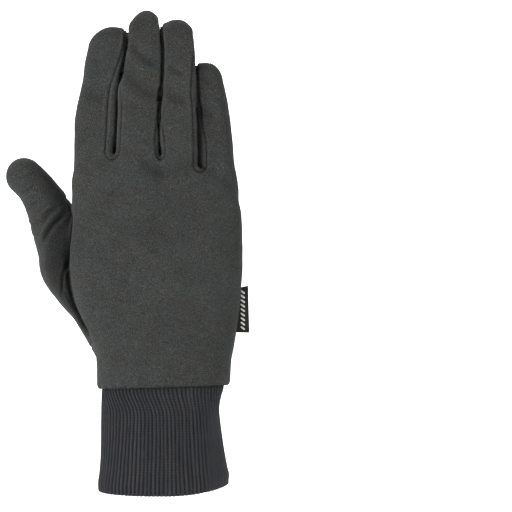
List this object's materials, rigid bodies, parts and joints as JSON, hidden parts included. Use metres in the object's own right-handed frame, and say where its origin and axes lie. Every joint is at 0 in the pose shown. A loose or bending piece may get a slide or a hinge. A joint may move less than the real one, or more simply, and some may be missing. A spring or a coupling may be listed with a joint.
{
  "type": "glove liner",
  "caption": "Cut-and-sewn knit glove liner for a right hand, shown filled out as worn, with forchettes between the fingers, a ribbed knit cuff and a loop label in the side seam.",
  "frame": {"origin": "centre of the wrist opening at the cuff's bottom edge", "axes": "+Z from the wrist to the fingertips, -Y the back of the hand, +Y the palm, thumb to -X, little finger to +X"},
  "size_m": [0.1346, 0.045, 0.2707],
  "materials": {
    "brushed_knit": "brushed charcoal jersey knit, matte with a faint heather",
    "rib_knit": "fine vertical rib knit, dark slate, matte",
    "label_tape": "black woven tape with a pale pattern"
  },
  "bodies": {
    "root": {"trank": "brushed_knit", "fourchette_index_middle": "brushed_knit", "fourchette_middle_ring": "brushed_knit", "fourchette_ring_little": "brushed_knit", "thumb": "brushed_knit", "rib_cuff": "rib_knit", "side_label": "label_tape"}
  },
  "joints": []
}
